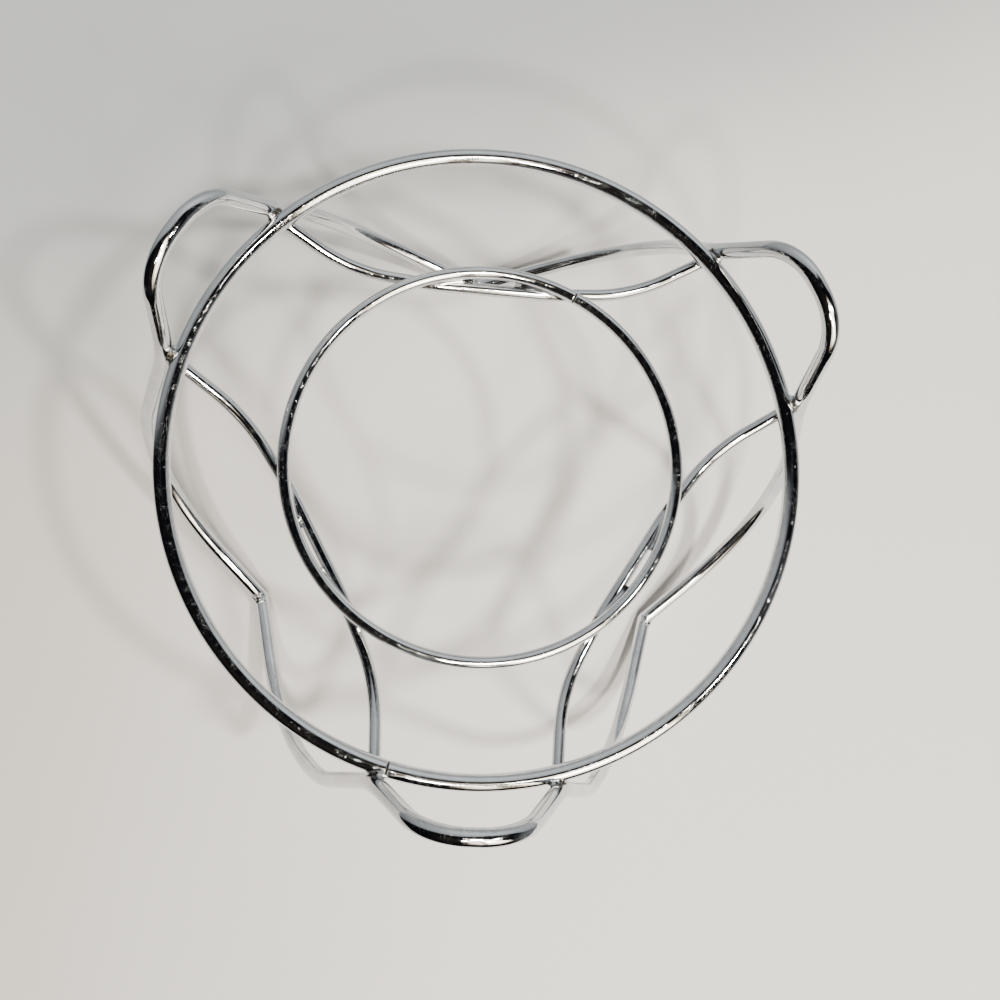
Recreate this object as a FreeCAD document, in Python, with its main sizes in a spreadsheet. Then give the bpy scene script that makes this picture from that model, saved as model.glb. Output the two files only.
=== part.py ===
"""Round welded-wire stand: two level rings carried by three bell-shaped leg wires.

The stand is made of two gauges of round wire.  The heavy gauge makes the large ring and the
three leg wires; the light gauge makes the small ring and the three cross wires that carry it.

    large ring    one hoop, butt-welded, level, at the height of the stand's platform
    leg wires     each rises from a foot, leans out, touches the outside of the large ring,
                  arches over as a rounded ear, and comes down the same way to the next foot
    feet          where two neighbouring leg wires meet in a butt weld and touch the table
    cross wires   chords between neighbouring ears, welded under the large ring at both ends
    small ring    one hoop, butt-welded, resting on the three cross wires

Millimetres and degrees.  The origin is on the rings' common axis, on the table.  +Z is up.
The ears are at 30, 150 and 270 degrees from +X, and the feet lie half way between them.
"""

import FreeCAD
import Part

import math
import os

LEG_COUNT = 3
FIRST_LEG_ANGLE = 30.0
LEG_SPACING = 360.0 / LEG_COUNT

# The two bends on a run take up to this share of it.
USABLE_RUN = 0.97

# Corrections made to bring two wires' centre lines to their contact distance.
CONTACT_STEPS = 8

UP = FreeCAD.Vector(0, 0, 1)
ORIGIN = FreeCAD.Vector(0, 0, 0)

# Name, value, meaning.
SIZES = (
    ("heavy_wire", 4.76, "diameter of the large ring's and the legs' wire"),
    ("light_wire", 3.57, "diameter of the small ring's and the cross wires' wire"),
    ("ring_radius", 86.5, "large ring, axis to wire centre"),
    ("ring_height", 93.0, "table to the large ring's wire centre"),
    ("small_ring_radius", 55.4, "small ring, axis to wire centre"),
    ("weld_bite", 0.1, "how far two welded wires sink into each other"),
    # Leg wire, half of it: each bend has an angle from the leg's middle, a reach beyond the
    # large ring, a height and a radius.
    ("crown_angle", 7.0, "ear's corner, angle from the leg's middle"),
    ("crown_reach", 9.6, "ear's corner beyond the large ring"),
    ("crown_rise", 26.4, "ear's corner above the large ring"),
    ("crown_bend", 16.8, "bend radius at the ear's corner"),
    ("neck_angle", 15.9, "waist beside the large ring, angle from the leg's middle"),
    ("neck_rise", 0.7, "waist above the large ring"),
    ("neck_bend", 33.0, "bend radius at the waist"),
    ("shoulder_angle", 23.5, "widest point, angle from the leg's middle"),
    ("shoulder_reach", 14.9, "widest point beyond the large ring"),
    ("shoulder_drop", 40.3, "widest point below the large ring"),
    ("shoulder_bend", 45.0, "bend radius at the widest point"),
    ("knee_angle", 34.2, "knee above the table, angle from the leg's middle"),
    ("knee_reach", 14.0, "knee beyond the large ring"),
    ("knee_height", 18.2, "table to the knee"),
    ("knee_bend", 56.0, "bend radius at the knee"),
    ("foot_inset", 8.0, "foot inside the large ring"),
    # Cross wire, half of it: a flat middle, then an elbow from which it climbs to the ring.
    ("cross_drop", 11.1, "cross wire's middle below the large ring"),
    ("cross_inset", 4.0, "cross wire's middle inside the small ring"),
    ("cross_flat", 15.5, "first bend from the middle, along the wire"),
    ("cross_flat_bend", 33.0, "radius of the first bend"),
    ("cross_elbow", 41.0, "elbow from the middle, along the wire"),
    ("cross_elbow_bow", 2.1, "elbow further from the axis than the middle"),
    ("cross_elbow_bend", 46.0, "bend radius at the elbow"),
    ("cross_end_angle", 16.2, "end under the large ring, angle from the ear's middle"),
    ("cross_setback", 0.78, "end inside the large ring's outer edge"),
    # Welds.  Each is a ball, wider than the two wires it joins are on average.
    ("foot_weld_swell", 1.12, "foot weld's diameter over the wire's"),
    ("ear_weld_rise", 0.25, "leg and large ring, weld's radius beyond the wires'"),
    ("cross_weld_rise", 0.12, "cross wire and large ring, weld's radius beyond the wires'"),
    ("small_weld_rise", 0.115, "cross wire and small ring, weld's radius beyond the wires'"),
    ("seam_length", 0.7, "butt weld in a ring, along the wire"),
    ("seam_rise", 0.08, "butt weld's radius beyond the ring wire's"),
    ("large_seam_angle", 255.4, "where the large ring's butt weld is"),
    ("small_seam_angle", 64.5, "where the small ring's butt weld is"),
)

# Name, formula, meaning.
WORKED_OUT = (
    ("small_ring_height", "=ring_height - cross_drop + light_wire - weld_bite",
     "table to the small ring's wire centre: it rests on the cross wires' flat middles"),
    ("cross_overhang", "=heavy_wire / 2 - cross_setback",
     "cross wire's end beyond the large ring's wire centre"),
    ("foot_weld_radius", "=heavy_wire / 2 * foot_weld_swell",
     "weld that joins two legs, which is also its centre's height"),
    ("ear_weld_radius", "=heavy_wire / 2 + ear_weld_rise",
     "weld metal between a leg and the large ring"),
    ("cross_weld_radius", "=(heavy_wire + light_wire) / 4 + cross_weld_rise",
     "weld metal between a cross wire and the large ring"),
    ("small_weld_radius", "=light_wire / 2 + small_weld_rise",
     "weld metal between a cross wire and the small ring"),
)


def make_sheet(doc):
    """Write the sizes into a spreadsheet and return it."""
    sheet = doc.addObject("Spreadsheet::Sheet", "sizes")
    for row, (name, value, meaning) in enumerate(SIZES + WORKED_OUT, start=1):
        sheet.set(f"A{row}", name)
        sheet.set(f"B{row}", str(value))
        sheet.setAlias(f"B{row}", name)
        sheet.set(f"C{row}", meaning)
    doc.recompute()
    return sheet


def polar(angle, radius, height):
    """Point at an angle in degrees, a radius from the axis and a height."""
    turn = math.radians(angle)
    return FreeCAD.Vector(radius * math.cos(turn), radius * math.sin(turn), height)


def mirrored(point):
    """The same point on the other side of the wire's middle plane, y = 0."""
    return FreeCAD.Vector(point.x, -point.y, point.z)


def same(point):
    """The point itself, where the other side takes its mirror image."""
    return point


def turned(angle):
    """Placement that turns a piece about the rings' axis."""
    return FreeCAD.Placement(ORIGIN, FreeCAD.Rotation(UP, angle))


def tangent_lengths(points, radii):
    """How far each bend reaches along its two runs, nothing at the two ends.

    Where two bends would meet on a run, both give way by the same share.
    """
    wanted = [0.0]
    for before, corner, after, radius in zip(points, points[1:], points[2:], radii):
        turn = math.pi - (before - corner).getAngle(after - corner)
        wanted.append(radius * math.tan(turn / 2))
    wanted.append(0.0)
    shares = [1.0] * len(points)
    for index in range(len(points) - 1):
        run = (points[index + 1] - points[index]).Length
        share = USABLE_RUN * run / (wanted[index] + wanted[index + 1])
        shares[index] = min(shares[index], share)
        shares[index + 1] = min(shares[index + 1], share)
    return [length * share for length, share in zip(wanted, shares)]


def bent_path(points, radii):
    """Straight runs through the points, joined by tangent arcs of the given radii."""
    tangents = tangent_lengths(points, radii)
    edges = []
    start = points[0]
    for index in range(1, len(points) - 1):
        corner = points[index]
        back = (points[index - 1] - corner).normalize()
        ahead = (points[index + 1] - corner).normalize()
        half_turn = (math.pi - back.getAngle(ahead)) / 2
        radius = tangents[index] / math.tan(half_turn)
        inward = (back + ahead).normalize()
        arc_start = corner + back * tangents[index]
        arc_middle = corner + inward * (radius / math.cos(half_turn) - radius)
        arc_end = corner + ahead * tangents[index]
        edges.append(Part.LineSegment(start, arc_start).toShape())
        edges.append(Part.Arc(arc_start, arc_middle, arc_end).toShape())
        start = arc_end
    edges.append(Part.LineSegment(start, points[-1]).toShape())
    return Part.Wire(edges)


def half_circle(radius, height):
    """The y > 0 half of a ring's centre line."""
    circle = Part.Circle(FreeCAD.Vector(0, 0, height), UP, radius)
    return Part.Arc(circle, 0, math.pi).toShape()


def contact(path, circle):
    """Where two wires' centre lines come closest: the point half way, and the way across."""
    near, far = path.distToShape(circle)[1][0]
    return (near + far) / 2, far - near


def both_halves(half_points, half_radii):
    """Bent path of a wire from the points of its y > 0 half, listed from its middle outwards."""
    points = [mirrored(point) for point in reversed(half_points)] + half_points
    return bent_path(points, half_radii[::-1] + half_radii)


def leg_path(size, neck_reach):
    """Centre line of a leg wire whose ear is over the +X axis."""
    ring_radius = size.ring_radius
    ring_height = size.ring_height
    half_points = [
        polar(size.crown_angle, ring_radius + size.crown_reach, ring_height + size.crown_rise),
        polar(size.neck_angle, ring_radius + neck_reach, ring_height + size.neck_rise),
        polar(size.shoulder_angle, ring_radius + size.shoulder_reach,
              ring_height - size.shoulder_drop),
        polar(size.knee_angle, ring_radius + size.knee_reach, size.knee_height),
        polar(LEG_SPACING / 2, ring_radius - size.foot_inset, size.foot_weld_radius),
    ]
    half_radii = [size.crown_bend, size.neck_bend, size.shoulder_bend, size.knee_bend]
    return both_halves(half_points, half_radii)


def touching_leg_path(size):
    """Leg wire's centre line with the neck where the wire just bites into the large ring."""
    wanted = size.heavy_wire - size.weld_bite
    ring = half_circle(size.ring_radius, size.ring_height)
    neck_reach = wanted
    for _ in range(CONTACT_STEPS):
        neck_reach += wanted - leg_path(size, neck_reach).distToShape(ring)[0]
    return leg_path(size, neck_reach)


def cross_path(size, end_drop):
    """Centre line of a cross wire whose middle is over the +X axis."""
    middle_reach = size.small_ring_radius - size.cross_inset
    middle_height = size.ring_height - size.cross_drop
    end_angle = LEG_SPACING / 2 - size.cross_end_angle
    half_points = [
        FreeCAD.Vector(middle_reach, size.cross_flat, middle_height),
        FreeCAD.Vector(middle_reach + size.cross_elbow_bow, size.cross_elbow, middle_height),
        polar(end_angle, size.ring_radius + size.cross_overhang, size.ring_height - end_drop),
    ]
    return both_halves(half_points, [size.cross_flat_bend, size.cross_elbow_bend])


def touching_cross_path(size):
    """Cross wire's centre line with its ends just biting into the large ring from below."""
    wanted = (size.heavy_wire + size.light_wire) / 2 - size.weld_bite
    ring = half_circle(size.ring_radius, size.ring_height)
    end_drop = wanted
    for _ in range(CONTACT_STEPS):
        end_drop += wanted - cross_path(size, end_drop).distToShape(ring)[0]
    return cross_path(size, end_drop)


class StandBuilder:
    """Adds the stand's pieces to a document, each one bound to the sheet of sizes."""

    def __init__(self, doc, size):
        self.doc = doc
        self.size = size
        self.nodes = []

    def add(self, kind, label, node=True):
        """New document object; a node is a piece of its own and is written to a file."""
        piece = self.doc.addObject(kind, label)
        piece.Label = label
        if node:
            self.nodes.append(piece)
        return piece

    def ring(self, label, radius, wire, height, seam_angle):
        """Hoop of round wire, open at its seam, and the butt weld that fills the seam."""
        hoop = self.add("Part::Torus", label)
        weld = self.add("Part::Torus", label + "_butt_weld")
        seam = f"sizes.seam_length / {radius} * 180 / pi"
        for piece in (hoop, weld):
            piece.setExpression("Radius1", radius)
        hoop.setExpression("Radius2", f"{wire} / 2")
        hoop.setExpression("Angle3", f"360 - {seam}")
        weld.setExpression("Radius2", f"{wire} / 2 + sizes.seam_rise")
        weld.setExpression("Angle3", seam)
        weld.setExpression(".Placement.Base.z", height)
        hoop.setExpression(".Placement.Base.z", height)
        weld.setExpression(".Placement.Rotation.Angle", seam_angle)
        hoop.setExpression(".Placement.Rotation.Angle", f"{seam_angle} + {seam}")
        return hoop, weld

    def swept_wire(self, label, path_shape, wire, angle):
        """Round wire swept along a path and turned about the rings' axis."""
        path = self.add("Part::Feature", label + "_path", node=False)
        path.Shape = path_shape
        first = path_shape.OrderedEdges[0]
        start = first.valueAt(first.FirstParameter)
        heading = first.tangentAt(first.FirstParameter)
        section = self.add("Part::Circle", label + "_section", node=False)
        section.setExpression("Radius", f"{wire} / 2")
        section.Placement = FreeCAD.Placement(start, FreeCAD.Rotation(UP, heading))
        sweep = self.add("Part::Sweep", label + "_sweep", node=False)
        sweep.Sections = [section]
        sweep.Spine = (path, [f"Edge{index + 1}" for index in range(len(path_shape.Edges))])
        sweep.Solid = True
        sweep.Placement = turned(angle)
        return sweep

    def cut(self, label, base, tools):
        """Piece with its neighbours cut out of it, so that they meet face to face."""
        joined = self.add("Part::Compound", label + "_neighbours", node=False)
        joined.Links = tools
        piece = self.add("Part::Cut", label)
        piece.Base = base
        piece.Tool = joined
        return piece

    def ball(self, label, radius, place, axis, angle, node=False):
        """Ball of weld metal at a place, its poles along an axis, turned about the rings' axis."""
        ball = self.add("Part::Sphere", label, node)
        ball.setExpression("Radius", radius)
        facing = FreeCAD.Placement(place, FreeCAD.Rotation(UP, axis))
        ball.Placement = turned(angle).multiply(facing)
        return ball


def build(doc):
    """Make every piece of the stand and return the objects that are its nodes.

    Leg 1, cross wire 1, leg 2, cross wire 2 and so on follow one another round the axis, and
    foot 1 is below the middle of cross wire 1.  Side a of a wire is the side that comes later
    in that order, and side b is the side that comes earlier.
    """
    size = make_sheet(doc)
    stand = StandBuilder(doc, size)
    leg_line = touching_leg_path(size)
    cross_line = touching_cross_path(size)
    leg_angles = [FIRST_LEG_ANGLE + LEG_SPACING * index for index in range(LEG_COUNT)]
    cross_angles = [angle + LEG_SPACING / 2 for angle in leg_angles]

    large_ring = stand.ring("large_ring", "sizes.ring_radius", "sizes.heavy_wire",
                            "sizes.ring_height", "sizes.large_seam_angle")
    small_ring = stand.ring("small_ring", "sizes.small_ring_radius", "sizes.light_wire",
                            "sizes.small_ring_height", "sizes.small_seam_angle")

    foot_place = polar(LEG_SPACING / 2, size.ring_radius - size.foot_inset,
                       size.foot_weld_radius)
    feet = [stand.ball(f"foot_weld_{index + 1}", "sizes.foot_weld_radius", foot_place, UP,
                       angle, node=True)
            for index, angle in enumerate(leg_angles)]

    legs = []
    for index, angle in enumerate(leg_angles):
        label = f"leg_wire_{index + 1}"
        sweep = stand.swept_wire(label, leg_line, "sizes.heavy_wire", angle)
        legs.append(stand.cut(label, sweep, [*large_ring, feet[index], feet[index - 1]]))

    crosses = []
    for index, angle in enumerate(cross_angles):
        label = f"cross_wire_{index + 1}"
        sweep = stand.swept_wire(label, cross_line, "sizes.light_wire", angle)
        next_leg = legs[(index + 1) % LEG_COUNT]
        crosses.append(stand.cut(label, sweep,
                                 [*large_ring, *small_ring, legs[index], next_leg]))

    ear_place, ear_axis = contact(leg_line, half_circle(size.ring_radius, size.ring_height))
    ear_welds = {}
    for index, angle in enumerate(leg_angles):
        for side, turn, cross in (("a", same, crosses[index]),
                                  ("b", mirrored, crosses[index - 1])):
            label = f"leg_{index + 1}_ring_weld_{side}"
            ball = stand.ball(label + "_ball", "sizes.ear_weld_radius", turn(ear_place),
                              turn(ear_axis), angle)
            ear_welds[index, side] = stand.cut(label, ball, [*large_ring, legs[index], cross])

    end_place, end_axis = contact(cross_line, half_circle(size.ring_radius, size.ring_height))
    rest_place, rest_axis = contact(cross_line, half_circle(size.small_ring_radius,
                                                            size.small_ring_height))
    for index, angle in enumerate(cross_angles):
        later = (index + 1) % LEG_COUNT
        for side, turn, leg_index, leg_side in (("a", same, later, "b"),
                                                ("b", mirrored, index, "a")):
            label = f"cross_{index + 1}_ring_weld_{side}"
            ball = stand.ball(label + "_ball", "sizes.cross_weld_radius", turn(end_place),
                              turn(end_axis), angle)
            stand.cut(label, ball, [*large_ring, crosses[index], legs[leg_index],
                                    ear_welds[leg_index, leg_side]])
            label = f"cross_{index + 1}_small_ring_weld_{side}"
            ball = stand.ball(label + "_ball", "sizes.small_weld_radius", turn(rest_place),
                              turn(rest_axis), angle)
            stand.cut(label, ball, [*small_ring, crosses[index]])
    return stand.nodes


def check(doc, nodes):
    """Stop if any object failed or any node has no valid solid."""
    doc.recompute()
    for piece in doc.Objects:
        if "Invalid" in piece.State or "Error" in piece.State:
            raise RuntimeError(f"{piece.Label} failed: {piece.State}")
    for node in nodes:
        shape = node.Shape
        if shape.isNull() or not shape.isValid() or not shape.Solids:
            raise RuntimeError(f"{node.Label} has no valid solid")


def main():
    """Build the stand, check it and write one file for each node."""
    doc = FreeCAD.newDocument("wire_stand")
    nodes = build(doc)
    check(doc, nodes)
    os.makedirs("parts", exist_ok=True)
    for node in nodes:
        node.Shape.exportStep(f"parts/{node.Label}.step")
        print(f"{node.Label}: {node.Shape.Volume:.1f} mm3, {len(node.Shape.Solids)} solid(s)")


main()
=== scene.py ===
"""Looks of the round welded-wire stand: chromed wires, butt seams, welds and the studio.

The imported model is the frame.  Every visible piece is rebuilt around it as drawn, chromed
wire or as weld metal, in the same places and the same sizes, and stands for its CAD node.

Sizes in the dataclasses are millimetres and degrees.  Meshes are metres.
"""

import logging
import math
from dataclasses import dataclass, field
from enum import Enum
from typing import Any

import bmesh
import bpy
import numpy as np
from mathutils import Euler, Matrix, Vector

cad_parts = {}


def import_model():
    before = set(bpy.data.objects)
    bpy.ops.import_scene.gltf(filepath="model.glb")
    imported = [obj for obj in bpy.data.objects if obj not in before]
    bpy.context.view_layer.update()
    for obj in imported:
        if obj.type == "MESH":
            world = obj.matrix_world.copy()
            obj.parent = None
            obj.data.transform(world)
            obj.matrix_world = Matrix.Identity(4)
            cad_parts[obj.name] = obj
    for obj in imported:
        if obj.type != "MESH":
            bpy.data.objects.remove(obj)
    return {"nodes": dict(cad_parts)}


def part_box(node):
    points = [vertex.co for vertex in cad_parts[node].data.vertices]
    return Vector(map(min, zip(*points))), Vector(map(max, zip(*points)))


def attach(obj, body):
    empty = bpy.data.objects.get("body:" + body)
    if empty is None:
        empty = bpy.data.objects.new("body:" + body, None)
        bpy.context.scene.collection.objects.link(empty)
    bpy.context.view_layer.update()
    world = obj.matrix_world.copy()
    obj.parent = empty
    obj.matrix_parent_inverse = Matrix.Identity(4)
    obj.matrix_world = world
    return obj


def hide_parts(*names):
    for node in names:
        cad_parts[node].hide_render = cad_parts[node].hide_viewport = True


log = logging.getLogger("wire_stand")

MM = 0.001
BODY = "root"

LEG_COUNT = 3
LEG_SPACING = 360.0 / LEG_COUNT
FIRST_LEG_ANGLE = 30.0

# Attributes that the wires and welds carry for their finishes.
STRAIGHT = "straight_wire"
WELD_GAP = "weld_gap"
CLEAN_GAP = 10.0  # a distance from the weld residue and painted shade that no finish reaches

UP = np.array([0.0, 0.0, 1.0])
MIRROR = np.array([1.0, -1.0, 1.0])  # the two sides of a wire that is bent alike


class Slot(Enum):
    """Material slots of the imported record."""

    WIRE = "chrome_wire"
    WELD = "weld_metal"


# ---- Node trees ----


class Board:
    """A node tree, with the one way in which nodes are added to it."""

    def __init__(self, tree: bpy.types.NodeTree) -> None:
        """Start from an empty tree.

        Args:
            tree: The tree to fill; what it holds is cleared.
        """
        self.tree = tree
        tree.nodes.clear()

    def node(self, kind: str, settings: dict[str, Any] | None = None,
             sockets: dict[str | int, Any] | None = None) -> bpy.types.Node:
        """Add a node.

        Args:
            kind: Blender's type name of the node.
            settings: Attributes, set first.
            sockets: Input by identifier, name or index, with its value or its link.

        Returns:
            The new node.
        """
        made = self.tree.nodes.new(kind)
        for name, value in (settings or {}).items():
            setattr(made, name, value)
        for key, value in (sockets or {}).items():
            socket = self._socket(made.inputs, key)
            if isinstance(value, Value):
                value = value.socket
            if isinstance(value, bpy.types.NodeSocket):
                self.tree.links.new(value, socket)
            else:
                socket.default_value = value
        return made

    def value(self, kind: str, settings: dict[str, Any] | None = None,
              sockets: dict[str | int, Any] | None = None, output: str | int = 0) -> "Value":
        """Add a node and wrap one of its outputs.

        Args:
            kind: Blender's type name of the node.
            settings: Attributes, set first.
            sockets: Input by identifier, name or index.
            output: Output by identifier, name or index.

        Returns:
            The wrapped output.
        """
        made = self.node(kind, settings, sockets)
        return Value(self, self._socket(made.outputs, output))

    def vector(self, operation: str, sockets: dict[str | int, Any]) -> bpy.types.NodeSocket:
        """Result of a Vector Math node."""
        return self.node("ShaderNodeVectorMath", {"operation": operation},
                         sockets).outputs["Vector"]

    def parts(self, vector: bpy.types.NodeSocket) -> tuple["Value", "Value", "Value"]:
        """X, Y and Z of a vector."""
        split = self.node("ShaderNodeSeparateXYZ", None, {"Vector": vector})
        return tuple(Value(self, split.outputs[axis]) for axis in "XYZ")

    def mix(self, share: "Value | bpy.types.NodeSocket", first: Any,
            second: Any) -> bpy.types.NodeSocket:
        """Colour between two colours.

        Args:
            share: 0 for the first colour, 1 for the second.
            first: A plain colour, or a link.
            second: A plain colour, or a link.

        Returns:
            The mixed colour.
        """
        first, second = ((*colour, 1.0) if isinstance(colour, tuple) else colour
                         for colour in (first, second))
        return self.value("ShaderNodeMix", {"data_type": "RGBA"},
                          {"Factor_Float": share, "A_Color": first, "B_Color": second},
                          "Result_Color").socket

    @staticmethod
    def _socket(sockets: Any, key: str | int) -> bpy.types.NodeSocket:
        """Find a socket.

        Args:
            sockets: A node's inputs or outputs.
            key: Index, identifier or name; among equal names, one that is in use.

        Returns:
            The socket.
        """
        if isinstance(key, int):
            return sockets[key]
        for socket in sockets:
            if socket.identifier == key:
                return socket
        for socket in sockets:
            if socket.name == key and socket.enabled:
                return socket
        raise KeyError(f"no socket {key!r} among {[s.identifier for s in sockets]}")


class Value:
    """A number that flows through a node tree; arithmetic on it adds Math nodes."""

    def __init__(self, board: Board, socket: bpy.types.NodeSocket) -> None:
        """Wrap an output socket of a board's tree."""
        self.board = board
        self.socket = socket

    def _math(self, operation: str, first: Any, second: Any) -> "Value":
        """Math node on two numbers or values."""
        return self.board.value("ShaderNodeMath", {"operation": operation},
                                {0: first, 1: second})

    def __add__(self, other: "Value | float") -> "Value":
        """Sum."""
        return self._math("ADD", self, other)

    def __radd__(self, other: float) -> "Value":
        """Sum with a number first."""
        return self._math("ADD", other, self)

    def __sub__(self, other: "Value | float") -> "Value":
        """Difference."""
        return self._math("SUBTRACT", self, other)

    def __rsub__(self, other: float) -> "Value":
        """Difference with a number first."""
        return self._math("SUBTRACT", other, self)

    def __mul__(self, other: "Value | float") -> "Value":
        """Product."""
        return self._math("MULTIPLY", self, other)

    def __rmul__(self, other: float) -> "Value":
        """Product with a number first."""
        return self._math("MULTIPLY", other, self)

    def __truediv__(self, other: "Value | float") -> "Value":
        """Quotient."""
        return self._math("DIVIDE", self, other)

    def __rtruediv__(self, other: float) -> "Value":
        """Quotient with a number first."""
        return self._math("DIVIDE", other, self)

    def __abs__(self) -> "Value":
        """Size without its sign."""
        return self._math("ABSOLUTE", self, 0.0)

    def __pow__(self, other: float) -> "Value":
        """Power."""
        return self._math("POWER", self, other)

    def at_least(self, other: "Value | float") -> "Value":
        """The larger of the two."""
        return self._math("MAXIMUM", self, other)

    def at_most(self, other: "Value | float") -> "Value":
        """The smaller of the two."""
        return self._math("MINIMUM", self, other)

    def rise(self, low: float, high: float) -> "Value":
        """Smooth step; it falls instead where high is below low.

        Args:
            low: Where the step is 0.
            high: Where the step is 1.

        Returns:
            The step.
        """
        start, end = (0.0, 1.0) if low < high else (1.0, 0.0)
        return self.board.value(
            "ShaderNodeMapRange", {"interpolation_type": "SMOOTHSTEP"},
            {"Value": self, "From Min": min(low, high), "From Max": max(low, high),
             "To Min": start, "To Max": end}, "Result")


# ---- Finishes ----


@dataclass(frozen=True)
class Chrome:
    """Bright chrome plating over drawn steel wire, with the marks of years of use.

    Weld residue is darkened as painted shade in crevices and cracks.  Lengths are millimetres.
    """

    name: str
    # Plating: its two tones, how far it is polished, and where it is hazed by wiping.
    tint: tuple[float, float, float] = (0.66, 0.675, 0.69)
    shade: tuple[float, float, float] = (0.56, 0.575, 0.60)
    cloud_size: float = 9.0
    shade_range: tuple[float, float] = (0.35, 0.70)
    polish: float = 0.045
    haze: float = 0.11
    haze_range: tuple[float, float] = (0.50, 0.72)
    noise_roughness: float = 0.55
    # Drawing lines, long faint waves and fine grain.
    line_width: float = 0.16
    line_length: float = 11.0
    line_depth: float = 0.0016
    line_range: tuple[float, float] = (0.35, 0.75)
    line_haze: float = 0.035
    line_haze_range: tuple[float, float] = (0.5, 0.8)
    ripple_length: float = 13.0
    ripple_depth: float = 0.012
    grain_size: float = 0.42
    grain_depth: float = 0.0045
    # Pale specks and hairlines.
    worn_tone: tuple[float, float, float] = (0.86, 0.87, 0.88)
    worn_cover: float = 0.75
    worn_haze: float = 0.22
    speck_cover: float = 0.8
    speck_spacing: float = 0.90
    speck_radius: float = 0.14
    speck_share: float = 0.17
    speck_height: float = 0.006
    scratch_width: float = 0.055
    scratch_length: float = 1.9
    scratch_range: tuple[float, float] = (0.6944, 0.78)
    scratch_patch: float = 3.2
    scratch_patch_range: tuple[float, float] = (0.46, 0.60)
    scratch_depth: float = 0.003
    scratch_turns: tuple[tuple[float, float, float], ...] = (
        (20.0, 10.0, 35.0), (-35.0, 25.0, 100.0), (15.0, -30.0, 160.0))
    # Dark pits, and the residue round the welds, darkened as painted shade in crevices and
    # cracks.
    pit_spacing: float = 0.75
    pit_radius: float = 0.15
    pit_patch: float = 16.0
    pit_patch_range: tuple[float, float] = (0.60, 0.66)
    pit_range: tuple[float, float] = (0.45, 0.50)
    pit_cover: float = 0.85
    pit_depth: float = 0.03
    dot_sizes: tuple[float, float] = (0.35, 0.90)
    dot_edge: tuple[float, float] = (1.0, 0.55)
    # Residue colours, made dark as painted shade for the crevices and cracks.
    grime_and_crevice_shade: tuple[float, float, float] = (0.012, 0.010, 0.006)
    pale_grime_and_crevice_shade: tuple[float, float, float] = (0.050, 0.040, 0.022)
    pale_grime_and_shade_range: tuple[float, float] = (0.50, 0.68)
    grime_and_shade_reach: float = 4.1
    grime_and_shade_fade: tuple[float, float] = (1.0, 0.25)
    grime_and_shade_cover: float = 1.15
    grime_and_shade_break: float = 1.6
    grime_and_shade_range: tuple[float, float] = (0.62, 1.0)
    grime_and_shade_flake: float = 0.7
    grime_and_shade_height: float = 0.02
    dirt_and_shade_haze: float = 0.34
    dirt_and_shade_dullness: float = 0.25

    def material(self) -> bpy.types.Material:
        """Build the plating's material.

        Returns:
            A material that reads Object coordinates and the wires' own attributes.
        """
        made = bpy.data.materials.new(self.name)
        made.use_nodes = True
        board = Board(made.node_tree)
        place = board.node("ShaderNodeTexCoord").outputs["Object"]
        straight = board.node("ShaderNodeAttribute",
                              {"attribute_name": STRAIGHT}).outputs["Vector"]

        lines = self._noise(board, straight,
                            (self.line_width, self.line_width, self.line_length), detail=3.0)
        swell = self.ripple_length
        ripple = self._noise(board, straight, (swell / 3, swell / 3, swell), detail=1.0)
        cloud = self._noise(board, place, (self.cloud_size,) * 3, detail=3.0)
        grain = self._noise(board, place, (self.grain_size,) * 3, detail=2.0)
        scratches = self._scratches(board, place)
        specks, pits = self._specks(board, place)
        grime_and_crevice_shade = self._grime_and_crevice_shade(board, place)

        worn = (specks * self.speck_cover).at_least(scratches)
        dirt_and_crevice_shade = (pits * self.pit_cover).at_least(grime_and_crevice_shade)
        tone = board.mix(cloud.rise(*self.shade_range), self.tint, self.shade)
        tone = board.mix(worn * self.worn_cover, tone, self.worn_tone)
        # Pits and residue take dark tones; near the welds and in cracks this dark is painted
        # shade.
        dirt_and_crevice_shade_tone = board.mix(cloud.rise(*self.pale_grime_and_shade_range), self.grime_and_crevice_shade, self.pale_grime_and_crevice_shade)
        tone = board.mix(dirt_and_crevice_shade, tone, dirt_and_crevice_shade_tone)

        rubbed = cloud.rise(*self.haze_range) * lines.rise(*self.line_range)
        rough = (self.polish + rubbed * self.haze
                 + lines.rise(*self.line_haze_range) * self.line_haze
                 + worn * self.worn_haze + dirt_and_crevice_shade * self.dirt_and_shade_haze)
        height = (ripple * self.ripple_depth + lines * self.line_depth
                  + grain * self.grain_depth + specks * self.speck_height
                  - scratches * self.scratch_depth - pits * self.pit_depth
                  + grime_and_crevice_shade * self.grime_and_shade_height)
        bump = board.node("ShaderNodeBump", None, {"Strength": 1.0, "Distance": MM,
                                                   "Height": height})
        shader = board.node(
            "ShaderNodeBsdfPrincipled", None,
            {"Base Color": tone, "Metallic": 1.0 - dirt_and_crevice_shade * self.dirt_and_shade_dullness,
             "Roughness": rough, "Normal": bump.outputs["Normal"]})
        board.node("ShaderNodeOutputMaterial", None, {"Surface": shader.outputs["BSDF"]})
        return made

    @staticmethod
    def _scaled(board: Board, vector: Any, sizes: tuple[float, float, float],
                turn: tuple[float, float, float] = (0.0, 0.0, 0.0)) -> bpy.types.NodeSocket:
        """Turn coordinates, then count them in cells.

        Args:
            board: The material's board.
            vector: The coordinates.
            sizes: The cells' sizes in millimetres.
            turn: Turn of the cells in degrees.

        Returns:
            The counted coordinates.
        """
        turned = board.node("ShaderNodeMapping", None,
                            {"Vector": vector,
                             "Rotation": tuple(math.radians(angle) for angle in turn)})
        scale = tuple(1.0 / (size * MM) for size in sizes)
        return board.vector("MULTIPLY", {0: turned.outputs["Vector"], 1: scale})

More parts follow.
